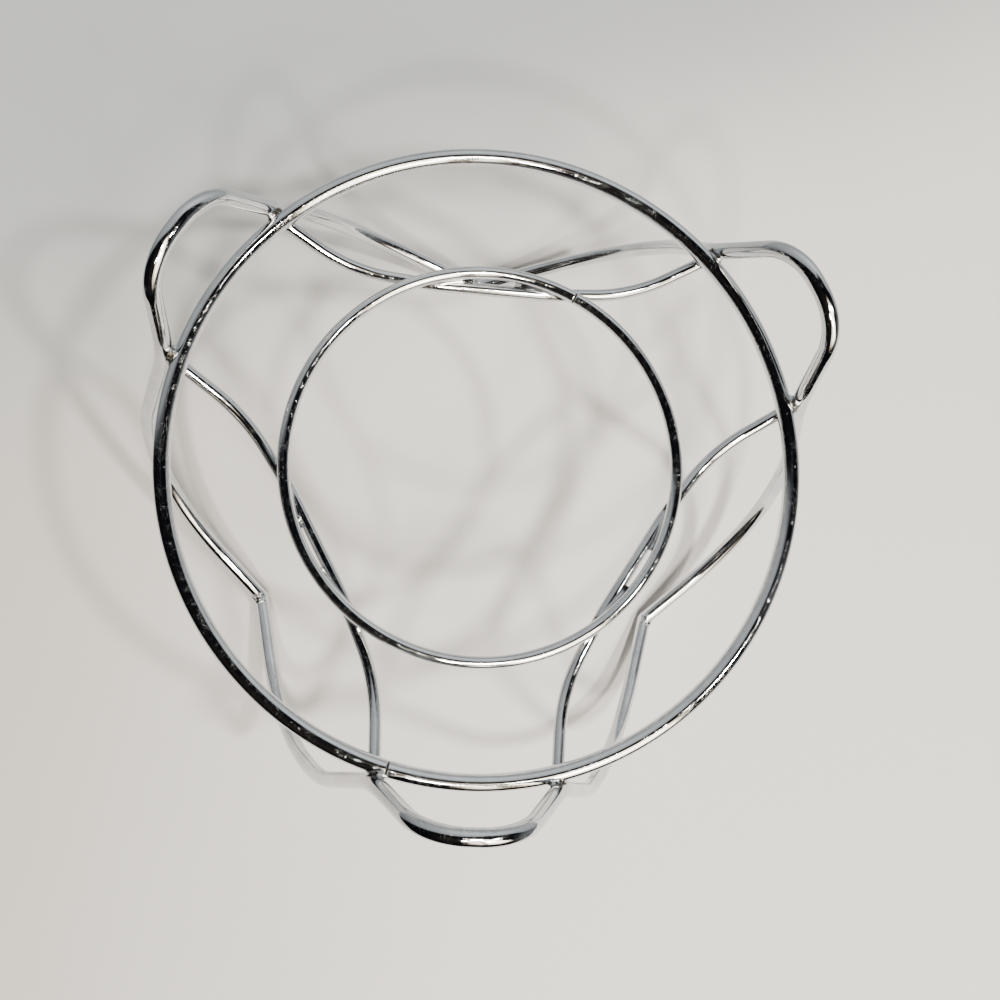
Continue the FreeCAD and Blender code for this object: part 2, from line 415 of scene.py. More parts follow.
    def _noise(self, board: Board, vector: Any, sizes: tuple[float, float, float],
               detail: float, turn: tuple[float, float, float] = (0.0, 0.0, 0.0)) -> Value:
        """Noise with cells of the given sizes."""
        return board.value("ShaderNodeTexNoise", None,
                           {"Vector": self._scaled(board, vector, sizes, turn),
                            "Scale": 1.0, "Detail": detail,
                            "Roughness": self.noise_roughness}, "Fac")

    def _scratches(self, board: Board, place: bpy.types.NodeSocket) -> Value:
        """Short hairlines in three directions.

        Args:
            board: The material's board.
            place: Object coordinates.

        Returns:
            1 on a hairline, 0 beside it.
        """
        found = None
        sizes = (self.scratch_width, self.scratch_length, self.scratch_length)
        for turn in self.scratch_turns:
            fine = self._noise(board, place, sizes, 0.0, turn)
            patch = self._noise(board, place, (self.scratch_patch,) * 3, 1.0, turn)
            lines = fine.rise(*self.scratch_range) * patch.rise(*self.scratch_patch_range)
            found = lines if found is None else found.at_least(lines)
        return found

    def _specks(self, board: Board, place: bpy.types.NodeSocket) -> tuple[Value, Value]:
        """Scattered pale specks, and dark pits that gather in patches.

        Args:
            board: The material's board.
            place: Object coordinates.

        Returns:
            1 on a speck, and 1 on a pit.
        """
        masks = []
        for spacing, radius in ((self.speck_spacing, self.speck_radius),
                                (self.pit_spacing, self.pit_radius)):
            cells = board.node("ShaderNodeTexVoronoi", {"feature": "F1"},
                               {"Vector": self._scaled(board, place, (spacing,) * 3),
                                "Scale": 1.0, "Randomness": 1.0})
            pick = board.value("ShaderNodeSeparateColor", None,
                               {"Color": cells.outputs["Color"]}, "Red")
            reach = Value(board, cells.outputs["Distance"])
            least, spread = self.dot_sizes
            dot = (reach / (radius * (least + pick * spread))).rise(*self.dot_edge)
            masks.append((dot, pick))
        (speck, speck_pick), (pit, pit_pick) = masks
        specks = speck * speck_pick.rise(1.0 - self.speck_share, 1.02 - self.speck_share)
        patch = self._noise(board, place, (self.pit_patch,) * 3, 1.0)
        pits = pit * pit_pick.rise(*self.pit_range) * patch.rise(*self.pit_patch_range)
        return specks, pits

    def _grime_and_crevice_shade(self, board: Board, place: bpy.types.NodeSocket) -> Value:
        """Flaky residue round the welds, darkened as painted shade in crevices and cracks.

        Args:
            board: The material's board.
            place: Object coordinates.

        Returns:
            1 where it covers the plating.
        """
        gap = board.value("ShaderNodeAttribute", {"attribute_name": WELD_GAP}, None, "Fac")
        broken = self._noise(board, place, (self.grime_and_shade_flake,) * 3, 4.0)
        near = (gap / (self.grime_and_shade_reach * MM)).rise(*self.grime_and_shade_fade)
        cover = near * self.grime_and_shade_cover + (broken - 0.5) * self.grime_and_shade_break
        return cover.rise(*self.grime_and_shade_range)


# --------------------------------------------------------------------------------------
# Lines and meshes# ---- Lines and meshes ----


def polar(angle: float, radius: float, height: float) -> np.ndarray:
    """Point at an angle in degrees, a radius from the axis and a height."""
    turn = math.radians(angle)
    return np.array([radius * math.cos(turn), radius * math.sin(turn), height])


def turned(points: np.ndarray, angle: float) -> np.ndarray:
    """Points turned about the rings' axis by an angle in degrees."""
    turn = math.radians(angle)
    cosine, sine = math.cos(turn), math.sin(turn)
    matrix = np.array([[cosine, -sine, 0.0], [sine, cosine, 0.0], [0.0, 0.0, 1.0]])
    return points @ matrix.T


def unit(vectors: np.ndarray) -> np.ndarray:
    """Vectors of length one."""
    return vectors / np.linalg.norm(vectors, axis=-1, keepdims=True)


def nearest_on(points: np.ndarray, line: np.ndarray) -> np.ndarray:
    """Closest places on a line of short runs.

    Args:
        points: Points, one a row.
        line: The line's points, one a row.

    Returns:
        The place on the line that is closest to each point.
    """
    start, run = line[:-1], line[1:] - line[:-1]
    offset = points[:, None, :] - start[None, :, :]
    share = np.einsum("ijk,jk->ij", offset, run) / np.einsum("jk,jk->j", run, run)
    share = np.clip(share, 0.0, 1.0)
    places = start[None, :, :] + share[..., None] * run[None, :, :]
    gaps = np.linalg.norm(points[:, None, :] - places, axis=2)
    best = gaps.argmin(axis=1)
    return places[np.arange(len(points)), best]


def bent_line(half: list[np.ndarray], bends: list[float], step: float) -> np.ndarray:
    """Centre line of a wire that is bent over its middle, y = 0, alike on both sides.

    Args:
        half: Corners of the y > 0 half, from the middle outwards; the last is the end.
        bends: Bend radius at each corner but the last.
        step: Distance between the points that are returned.

    Returns:
        Points along the straight runs and the tangent arcs between them.
    """
    corners = [corner * MIRROR for corner in reversed(half)] + half
    radii = bends[::-1] + bends
    reaches = [0.0]
    for before, corner, after, radius in zip(corners, corners[1:], corners[2:], radii):
        turn = math.pi - angle_between(before - corner, after - corner)
        reaches.append(radius * math.tan(turn / 2))
    reaches.append(0.0)
    reaches = shared_reaches(corners, reaches)
    pieces = []
    start = corners[0]
    for index in range(1, len(corners) - 1):
        corner = corners[index]
        back, ahead = unit(corners[index - 1] - corner), unit(corners[index + 1] - corner)
        half_turn = (math.pi - angle_between(back, ahead)) / 2
        radius = reaches[index] / math.tan(half_turn)
        arc_start = corner + back * reaches[index]
        centre = corner + unit(back + ahead) * (radius / math.cos(half_turn))
        pieces.append(straight_points(start, arc_start, step))
        pieces.append(arc_points(arc_start - centre, corner + ahead * reaches[index] - centre,
                                 step) + centre)
        start = corner + ahead * reaches[index]
    pieces.append(straight_points(start, corners[-1], step))
    return np.vstack([*pieces, corners[-1]])


def angle_between(first: np.ndarray, second: np.ndarray) -> float:
    """Angle between two vectors, in radians."""
    return math.acos(float(np.clip(unit(first) @ unit(second), -1.0, 1.0)))


def shared_reaches(corners: list[np.ndarray], wanted: list[float]) -> list[float]:
    """How far each bend reaches along its runs, where two bends share a short run.

    Args:
        corners: The line's corners.
        wanted: How far each corner's bend would reach by itself.

    Returns:
        The reaches, shorter where a run is too short for its two bends.
    """
    usable = 0.97
    shares = [1.0] * len(corners)
    for index in range(len(corners) - 1):
        run = np.linalg.norm(corners[index + 1] - corners[index])
        share = usable * run / (wanted[index] + wanted[index + 1])
        shares[index] = min(shares[index], share)
        shares[index + 1] = min(shares[index + 1], share)
    return [reach * share for reach, share in zip(wanted, shares)]


def straight_points(start: np.ndarray, end: np.ndarray, step: float) -> np.ndarray:
    """Points from a start towards an end, without the end."""
    count = max(1, round(np.linalg.norm(end - start) / step))
    return start + np.linspace(0.0, 1.0, count, endpoint=False)[:, None] * (end - start)


def arc_points(start: np.ndarray, end: np.ndarray, step: float) -> np.ndarray:
    """Points on the circle about the origin.

    Args:
        start: The arc's first point.
        end: The arc's last point, which is left out.
        step: Distance between the points.

    Returns:
        The points.
    """
    radius = np.linalg.norm(start)
    angle = angle_between(start, end)
    side = unit(end - start * (start @ end) / radius ** 2) * radius
    turns = np.linspace(0.0, angle, max(2, round(angle * radius / step)), endpoint=False)
    return np.cos(turns)[:, None] * start + np.sin(turns)[:, None] * side


def linked(name: str, data: bpy.types.ID) -> bpy.types.Object:
    """New object of the scene, at the origin."""
    made = bpy.data.objects.new(name, data)
    bpy.context.scene.collection.objects.link(made)
    return made


def mesh_object(name: str, points: np.ndarray, faces: list[list[int]]) -> bpy.types.Object:
    """Make a smooth mesh object at the origin.

    Args:
        name: The object's name.
        points: Its points in millimetres, in an array of any shape.
        faces: Its faces, each the numbers of its points.

    Returns:
        The object.
    """
    mesh = bpy.data.meshes.new(name)
    mesh.from_pydata((points.reshape(-1, 3) * MM).tolist(), [], faces)
    mesh.update()
    mesh.shade_smooth()
    return linked(name, mesh)


def grid_faces(rows: int, columns: int, closed_rows: bool) -> np.ndarray:
    """Quads of a grid of points whose columns close on themselves.

    Args:
        rows: Number of rows.
        columns: Number of points in a row.
        closed_rows: Whether the last row joins the first.

    Returns:
        The quads, one a row.
    """
    last = rows if closed_rows else rows - 1
    row, column = np.meshgrid(np.arange(last), np.arange(columns), indexing="ij")
    next_row, next_column = (row + 1) % rows, (column + 1) % columns
    quads = np.stack([row * columns + column, row * columns + next_column,
                      next_row * columns + next_column, next_row * columns + column], -1)
    return quads.reshape(-1, 4)


def closed_tube_faces(rows: int, columns: int) -> list[list[int]]:
    """Faces of a tube of points, with both ends closed by one face each.

    Args:
        rows: Number of rows along the tube.
        columns: Number of points round it.

    Returns:
        The faces.
    """
    quads = grid_faces(rows, columns, closed_rows=False)[:, ::-1].tolist()
    first = list(range(columns))
    last = [(rows - 1) * columns + index for index in reversed(range(columns))]
    return [*quads, first, last]


class Lumps:
    """Smooth, repeatable unevenness: a few waves of fixed directions and phases."""

    def __init__(self, seed: int, size: float, waves: int = 24) -> None:
        """Draw the waves.

        Args:
            seed: Seed of the draw.
            size: Typical width of a lump.
            waves: How many waves are added.
        """
        draw = np.random.default_rng(seed)
        self.directions = unit(draw.normal(size=(waves, 3)))
        self.directions *= draw.uniform(0.5, 1.6, (waves, 1)) * math.pi / size
        self.phases = draw.uniform(0.0, 2 * math.pi, waves)

    def at(self, points: np.ndarray) -> np.ndarray:
        """Unevenness at each point, about -1 to 1."""
        waves = np.sin(points @ self.directions.T + self.phases)
        return waves.sum(axis=-1) / math.sqrt(len(self.phases) / 2) / 1.6


# ---- Drawn wire ----


@dataclass
class WireDrawer:
    """Geometry Nodes tree that draws a round wire along a line, and the way to use it."""

    sides: int = 40
    ripple_length: float = 17.0
    ripple_top: float = 0.8
    tree: bpy.types.NodeTree = field(init=False)

    def __post_init__(self) -> None:
        """Build the tree once for all wires."""
        self.tree = bpy.data.node_groups.new("drawn wire", "GeometryNodeTree")
        board = Board(self.tree)
        face = self.tree.interface
        face.new_socket("Geometry", in_out="INPUT", socket_type="NodeSocketGeometry")
        for name, kind in (("Wire Radius", "NodeSocketFloat"), ("End Round", "NodeSocketFloat"),
                           ("Ripple", "NodeSocketFloat"), ("Sides", "NodeSocketInt"),
                           ("Seed", "NodeSocketFloat"), ("Weld Places", "NodeSocketObject"),
                           ("Material", "NodeSocketMaterial")):
            face.new_socket(name, in_out="INPUT", socket_type=kind)
        face.new_socket("Geometry", in_out="OUTPUT", socket_type="NodeSocketGeometry")
        given = board.node("NodeGroupInput").outputs

        length = board.value("GeometryNodeSplineParameter", None, None, "Length")
        whole = board.value("GeometryNodeSplineLength", None, None, "Length")
        line = board.node("GeometryNodeCaptureAttribute")
        line.capture_items.new("FLOAT", "Along")
        line.capture_items.new("FLOAT", "End")
        self.tree.links.new(given["Geometry"], line.inputs["Geometry"])
        self.tree.links.new(length.socket, line.inputs["Along"])
        self.tree.links.new(length.at_most(whole - length).socket, line.inputs["End"])

        circle = board.node("GeometryNodeCurvePrimitiveCircle", {"mode": "RADIUS"},
                            {"Resolution": given["Sides"], "Radius": given["Wire Radius"]})
        profile = board.node("GeometryNodeCaptureAttribute")
        profile.capture_items.new("VECTOR", "Section")
        self.tree.links.new(circle.outputs["Curve"], profile.inputs["Geometry"])
        self.tree.links.new(board.node("GeometryNodeInputPosition").outputs["Position"],
                            profile.inputs["Section"])

        radius, rounding = Value(board, given["Wire Radius"]), Value(board, given["End Round"])
        into = 1.0 - (Value(board, line.outputs["End"]) / rounding).at_most(1.0)
        scale = 1.0 - rounding * (1.0 - (1.0 - into * into) ** 0.5) / radius
        tube = board.node("GeometryNodeCurveToMesh", None,
                          {"Curve": line.outputs["Geometry"],
                           "Profile Curve": profile.outputs["Geometry"],
                           "Scale": scale, "Fill Caps": True})

        section_x, section_y, _ = board.parts(profile.outputs["Section"])
        straight = board.node("ShaderNodeCombineXYZ", None,
                              {"X": section_x, "Y": section_y, "Z": line.outputs["Along"]})
        cells = tuple(1.0 / (size * self.ripple_length * MM) for size in (0.5, 0.5, 1.0))
        waves = board.value(
            "ShaderNodeTexNoise", {"noise_dimensions": "4D"},
            {"Vector": board.vector("MULTIPLY", {0: straight.outputs["Vector"], 1: cells}),
             "W": given["Seed"], "Scale": 1.0, "Detail": 1.0}, "Fac")
        lift = (waves - self.ripple_top) * 2.0 * Value(board, given["Ripple"])
        normal = board.node("GeometryNodeInputNormal").outputs["Normal"]
        shaped = board.node("GeometryNodeSetPosition", None,
                            {"Geometry": tube.outputs["Mesh"],
                             "Offset": board.vector("SCALE", {0: normal, "Scale": lift})})
        noted = board.node("GeometryNodeStoreNamedAttribute",
                           {"data_type": "FLOAT_VECTOR", "domain": "POINT"},
                           {"Geometry": shaped.outputs["Geometry"], "Name": STRAIGHT,
                            "Value": straight.outputs["Vector"]})
        # Distance from the welds, where the finish paints residue and crevice shade.
        places = board.node("GeometryNodeObjectInfo", {"transform_space": "ORIGINAL"},
                            {"Object": given["Weld Places"]})
        near = board.node("GeometryNodeProximity", {"target_element": "POINTS"},
                          {"Target": places.outputs["Geometry"]})
        noted = board.node("GeometryNodeStoreNamedAttribute",
                           {"data_type": "FLOAT", "domain": "POINT"},
                           {"Geometry": noted.outputs["Geometry"], "Name": WELD_GAP,
                            "Value": near.outputs["Distance"]})
        smooth = board.node("GeometryNodeSetShadeSmooth", None,
                            {"Geometry": noted.outputs["Geometry"], "Shade Smooth": True})
        real = board.node("GeometryNodeRealizeInstances", None,
                          {"Geometry": smooth.outputs["Geometry"]})
        coated = board.node("GeometryNodeSetMaterial", None,
                            {"Geometry": real.outputs["Geometry"],
                             "Material": given["Material"]})
        board.node("NodeGroupOutput", None, {0: coated.outputs["Geometry"]})

    def draw(self, name: str, line: np.ndarray, diameter: float, finish: bpy.types.Material,
             weld_places: bpy.types.Object, seed: int, end_round: float,
             ripple: float = 0.012) -> bpy.types.Object:
        """Draw one wire.

        Args:
            name: Name of the piece.
            line: Points of its centre line.
            diameter: The wire's diameter.
            finish: Its material.
            weld_places: Object whose points are the places of the welds.
            seed: Seed of its unevenness.
            end_round: Rounding of its two cut ends.
            ripple: Height of its long, faint waves.

        Returns:
            A plain mesh object at the origin.
        """
        curve = bpy.data.curves.new(name + "_line", "CURVE")
        curve.dimensions = "3D"
        spline = curve.splines.new("POLY")
        spline.points.add(len(line) - 1)
        spline.points.foreach_set("co", np.column_stack([line * MM, np.ones(len(line))]).ravel())
        source = linked(name + "_line", curve)
        modifier = source.modifiers.new("drawn wire", "NODES")
        modifier.node_group = self.tree
        wanted = {"Wire Radius": diameter / 2 * MM, "End Round": end_round * MM,
                  "Ripple": ripple * MM, "Sides": self.sides, "Seed": float(seed),
                  "Weld Places": weld_places, "Material": finish}
        for item in self.tree.interface.items_tree:
            if item.in_out == "INPUT" and item.name in wanted:
                modifier[item.identifier] = wanted[item.name]
        graph = bpy.context.evaluated_depsgraph_get()
        mesh = bpy.data.meshes.new_from_object(source.evaluated_get(graph), depsgraph=graph)
        mesh.name = name
        source.modifiers.remove(modifier)
        bpy.data.objects.remove(source)
        bpy.data.curves.remove(curve)
        return linked(name, mesh)


# ---- Pieces of the stand ----


@dataclass
class Hoop:
    """A ring of round wire, closed by a butt seam with a ragged crack round it, painted dark as
    its shade.
    """

    name: str
    seam_angle: float
    seam_length: float = 0.8
    seam_overlap: float = 0.05
    seam_rows: int = 49
    seam_columns: int = 96
    crack_width: float = 0.25
    crack_depth: float = 0.40
    crack_wander: float = 0.06
    crack_rag: float = 0.3
    lump_size: float = 1.6
    end_round: float = 0.02
    ripple: float = 0.010
    step: float = 0.9
    radius: float = field(init=False)
    height: float = field(init=False)
    wire: float = field(init=False)

    def __post_init__(self) -> None:
        """Read the ring's sizes from its CAD node."""
        low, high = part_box(self.name)
        self.wire = (high.z - low.z) / MM
        self.height = (high.z + low.z) / 2 / MM
        self.radius = (high.x - low.x) / 2 / MM - self.wire / 2

    def line(self, start: float = 0.0, step: float | None = None) -> np.ndarray:
        """Centre line, on round to the seam.

        Args:
            start: Angle of its first point after the seam, in degrees.
            step: Distance between its points; the ring's own if left out.

        Returns:
            The line's points.
        """
        count = round(math.radians(360.0 - start) * self.radius / (step or self.step))
        angles = np.radians(self.seam_angle + np.linspace(start, 360.0, count + 1))
        return np.column_stack([self.radius * np.cos(angles), self.radius * np.sin(angles),
                                np.full(len(angles), self.height)])

    def build(self, shop: "Shop", seed: int) -> None:
        """Draw the hoop and its seam.

        Args:
            shop: Where pieces are drawn and handed over.
            seed: Seed of their unevenness.
        """
        seam_turn = math.degrees(self.seam_length / self.radius)
        hoop = shop.drawer.draw(self.name + "_drawn", self.line(seam_turn), self.wire,
                                shop.wire_chrome, shop.weld_places, seed, self.end_round,
                                self.ripple)
        shop.hand_over(hoop, Slot.WIRE, self.name)
        shop.hand_over(self._seam(shop, seed), Slot.WELD, self.name + "_butt_weld")

    def _seam(self, shop: "Shop", seed: int) -> bpy.types.Object:
        """Make the short collar between the hoop's two ends.

        Args:
            shop: Where it is coated.
            seed: Seed of its unevenness.

        Returns:
            The collar.
        """
        rows, columns = self.seam_rows, self.seam_columns
        reach = self.seam_length / 2 + self.seam_overlap
        along = np.linspace(-reach, reach, rows)[:, None]
        around = np.linspace(0.0, 2 * math.pi, columns, endpoint=False)[None, :]
        flat = np.stack([np.broadcast_to(along, (rows, columns)),
                         np.broadcast_to(self.wire / 2 * np.cos(around), (rows, columns)),
                         np.broadcast_to(self.wire / 2 * np.sin(around), (rows, columns))], -1)
        uneven = Lumps(seed, self.lump_size).at(flat)
        place = along - self.crack_wander * uneven
        crack = np.exp(-(place / self.crack_width) ** 2)
        radius = self.wire / 2 - self.crack_depth * crack * (0.85 + self.crack_rag * uneven)
        angle = np.radians(self.seam_angle) + (along + self.seam_length / 2) / self.radius
        outwards = np.stack([np.cos(angle), np.sin(angle), np.zeros_like(angle)], -1)
        points = (outwards * self.radius + UP * self.height
                  + radius[..., None] * (np.cos(around)[..., None] * outwards
                                         + np.sin(around)[..., None] * UP))
        made = mesh_object(self.name + "_seam", points, closed_tube_faces(rows, columns))
        # The crack is painted dark with the residue colour, as its shade.
        gaps = CLEAN_GAP * (1.0 - np.clip(crack * 2.0, 0.0, 1.0))
        return shop.coat(made, shop.wire_chrome, gaps.ravel())


@dataclass(frozen=True)
class Corner:
    """Corner of a leg wire, measured from the ear's middle and the large ring's line."""

    angle: float
    reach: float
    rise: float
    bend: float

    def point(self, ring: Hoop) -> np.ndarray:
        """Place of the corner on a leg whose ear is over +X."""
        return polar(self.angle, ring.radius + self.reach, ring.height + self.rise)


@dataclass
class LegWires:
    """The three leg wires, all of one shape: an ear, two shoulders and two feet."""

    ring: Hoop
    crown: Corner = Corner(angle=7.0, reach=9.6, rise=26.4, bend=16.8)
    neck_angle: float = 15.9
    neck_rise: float = 0.7
    neck_bend: float = 33.0
    shoulder: Corner = Corner(angle=23.5, reach=14.9, rise=-40.3, bend=45.0)
    knee_angle: float = 34.2
    knee_reach: float = 14.0
    knee_height: float = 18.2
    knee_bend: float = 56.0
    foot_inset: float = 8.0
    foot_swell: float = 1.12
    weld_bite: float = 0.1
    end_round: float = 0.1
    ripple: float = 0.02
    step: float = 0.7

    def foot_radius(self) -> float:
        """Radius of the weld between two legs, and its centre's height."""
        return self.ring.wire / 2 * self.foot_swell

    def foot(self) -> np.ndarray:
        """Where the first leg's later end meets the next leg, before the leg is turned."""
        return polar(LEG_SPACING / 2, self.ring.radius - self.foot_inset, self.foot_radius())

    def line(self, step: float | None = None) -> np.ndarray:
        """Centre line of a leg whose ear is over +X, its neck touching the ring.

        Args:
            step: Distance between its points; the legs' own if left out.

        Returns:
            The line's points.
        """
        wanted = self.ring.wire - self.weld_bite
        neck_reach = wanted
        ring_line = self.ring.line()
        for _ in range(6):
            line = self._line_with(neck_reach)
            near = line[np.abs(line[:, 2] - self.ring.height) < 3 * self.ring.wire]
            near = nearest_on(near, ring_line) - near
            neck_reach += wanted - np.linalg.norm(near, axis=1).min()
        return self._line_with(neck_reach, step)

    def _line_with(self, neck_reach: float, step: float | None = None) -> np.ndarray:
        """Centre line for a given reach of the neck.

        Args:
            neck_reach: How far the neck's corner is beyond the ring's centre line.
            step: Distance between the points; the legs' own if left out.

        Returns:
            The line's points.
        """
        neck = Corner(self.neck_angle, neck_reach, self.neck_rise, self.neck_bend)
        knee = polar(self.knee_angle, self.ring.radius + self.knee_reach, self.knee_height)
        half = [self.crown.point(self.ring), neck.point(self.ring),
                self.shoulder.point(self.ring), knee, self.foot()]
        bends = [self.crown.bend, neck.bend, self.shoulder.bend, self.knee_bend]
        return bent_line(half, bends, step or self.step)

    def angle(self, index: int) -> float:
        """Angle of a leg's ear, in degrees."""
        return FIRST_LEG_ANGLE + LEG_SPACING * index

    def build(self, shop: "Shop") -> None:
        """Draw the legs and the welds at their feet."""
        line = self.line()
        nugget = Nugget(self.ring.wire / 2, self.foot_radius(), self.foot(), line)
        for index in range(LEG_COUNT):
            name = f"leg_wire_{index + 1}"
            wire = shop.drawer.draw(name + "_drawn", turned(line, self.angle(index)),
                                    self.ring.wire, shop.wire_chrome, shop.weld_places,
                                    20 + index, self.end_round, self.ripple)
            shop.hand_over(wire, Slot.WIRE, name)
            nugget.build(shop, index, self.angle(index))


@dataclass
class Nugget:
    """Torn weld metal where two legs meet at a foot, with a crack across its inner side painted
    dark as shade.

    Widths and places across the nugget are shares of the wire's radius.
    """

    wire: float
    weld: float
    centre: np.ndarray
    line: np.ndarray
    rows: int = 90
    columns: int = 120
    pole: float = 0.02
    fine_size: float = 0.42
    coarse_size: float = 1.1
    wander: float = 0.05
    cover: float = 0.02
    unevenness: float = 0.03
    steepest: float = 0.72
    torn: tuple[float, float, float] = (0.60, 0.42, 0.28)
    flash_width: float = 0.50
    flash_foot: float = 0.04
    flash_height: float = 0.72
    crack_place: float = 0.10
    crack_width: float = 0.08
    crack_foot: float = 0.05
    crack_depth: float = 0.60
    rise_limit: float = 1.2

    def build(self, shop: "Shop", index: int, angle: float) -> None:
        """Make one nugget and hand it over for its CAD node.

        Args:
            shop: Where it is coated and handed over.
            index: Which foot, from 0.
            angle: Turn of its leg, in degrees.
        """
        into_first = unit(self.line[-6] - self.line[-1])
        into_next = turned(into_first * MIRROR, LEG_SPACING)
        across, crook = unit(into_next - into_first), unit(into_first + into_next)
        side = np.cross(across, crook)
        lean = np.linspace(self.pole, math.pi - self.pole, self.rows)[:, None]
        around = np.linspace(0.0, 2 * math.pi, self.columns, endpoint=False)[None, :]
        ray = (np.cos(lean)[..., None] * across
               + (np.sin(lean) * np.cos(around))[..., None] * crook
               + (np.sin(lean) * np.sin(around))[..., None] * side)

        fine = Lumps(60 + index, self.fine_size).at(ray * self.wire)
        coarse = Lumps(70 + index, self.coarse_size).at(ray * self.wire)
        inner = np.clip(ray @ crook, 0.0, 1.0)
        place = ray @ across + self.wander * coarse
        mean, coarse_share, fine_share = self.torn
        torn = np.maximum(mean + coarse_share * coarse + fine_share * fine, 0.0)
        flash = np.exp(-(place / self.flash_width) ** 2)
        crack = np.exp(-((place - self.crack_place) / self.crack_width) ** 2)
        along = np.clip(np.maximum(ray @ into_first, ray @ into_next), 0.0, self.steepest)
        radius = self.wire / np.sqrt(1.0 - along ** 2) + self.cover + self.unevenness * coarse
        radius = radius + flash * (self.flash_foot + self.flash_height * inner ** 0.7 * torn)
        radius = radius - crack * (self.crack_foot + self.crack_depth * inner ** 0.6)
        radius = np.minimum(radius, self.weld + self.rise_limit * inner ** 0.5)

        points = (self.centre + radius[..., None] * ray).reshape(-1, 3)
        made = mesh_object(f"foot_{index + 1}_nugget", turned(points, angle),
                           closed_tube_faces(self.rows, self.columns))
        # Only the crack takes the dark residue colour, painted in as its shade.
        gaps = CLEAN_GAP * (1.0 - np.clip(crack * inner * 2.0, 0.0, 1.0))
        shop.hand_over(shop.coat(made, shop.weld_chrome, gaps.ravel()), Slot.WELD,
                       f"foot_weld_{index + 1}")


@dataclass
class CrossWires:
    """The three cross wires under the rings, all of one shape."""

    ring: Hoop
    small_ring: Hoop
    inset: float = 4.0
    flat: float = 15.5
    flat_bend: float = 33.0
    elbow: float = 41.0
    elbow_bow: float = 2.1
    elbow_bend: float = 46.0
    end_angle: float = 16.2
    setback: float = 0.78
    weld_bite: float = 0.1
    end_round: float = 0.4
    end_reach: float = 0.5
    step: float = 0.6

    def line(self, step: float | None = None) -> np.ndarray:
        """Centre line of a cross wire whose middle is over +X, its ends under the ring.

        Args:
            step: Distance between its points; the cross wires' own if left out.

        Returns:
            The line's points.
        """
        wanted = (self.ring.wire + self.small_ring.wire) / 2 - self.weld_bite
        end_drop = wanted
        ring_line = self.ring.line()
        for _ in range(6):
            line = self._line_with(end_drop)
            near = nearest_on(line, ring_line) - line
            end_drop += wanted - np.linalg.norm(near, axis=1).min()
        return self._line_with(end_drop, step)

    def _line_with(self, end_drop: float, step: float | None = None) -> np.ndarray:
        """Centre line for a given drop of the ends.

        Args:
            end_drop: How far the ends are below the large ring's centre line.
            step: Distance between the points; the cross wires' own if left out.

        Returns:
            The line's points.
        """
        reach = self.small_ring.radius - self.inset
        height = self.small_ring.height - self.small_ring.wire + self.weld_bite
        half = [
            np.array([reach, self.flat, height]),
            np.array([reach + self.elbow_bow, self.elbow, height]),
            polar(LEG_SPACING / 2 - self.end_angle,
                  self.ring.radius + self.ring.wire / 2 - self.setback,
                  self.ring.height - end_drop),
        ]
        return bent_line(half, [self.flat_bend, self.elbow_bend], step or self.step)

    def angle(self, index: int) -> float:
        """Angle of a cross wire's middle, in degrees."""
        return FIRST_LEG_ANGLE + LEG_SPACING * (index + 0.5)

    def build(self, shop: "Shop") -> None:
        """Draw the cross wires."""
        line = with_fine_ends(self.line(), self.end_reach)
        for index in range(LEG_COUNT):
            name = f"cross_wire_{index + 1}"
            wire = shop.drawer.draw(name + "_drawn", turned(line, self.angle(index)),
                                    self.small_ring.wire, shop.wire_chrome,
                                    shop.weld_places, 40 + index, self.end_round)
            shop.hand_over(wire, Slot.WIRE, name)


def with_fine_ends(line: np.ndarray, reach: float, count: int = 8) -> np.ndarray:
    """Line with extra points close to its two ends, for a rounded cut.

    Args:
        line: The line's points.
        reach: How far from each end the extra points go.
        count: Number of extra points at each end.

    Returns:
        The points of the finer line.
    """
    head, tail = unit(line[1] - line[0]), unit(line[-2] - line[-1])
    places = reach * np.linspace(0.0, 1.0, count)[:, None] ** 2
    return np.vstack([line[0] + places * head, line[1:-1],
                      (line[-1] + places * tail)[::-1]])


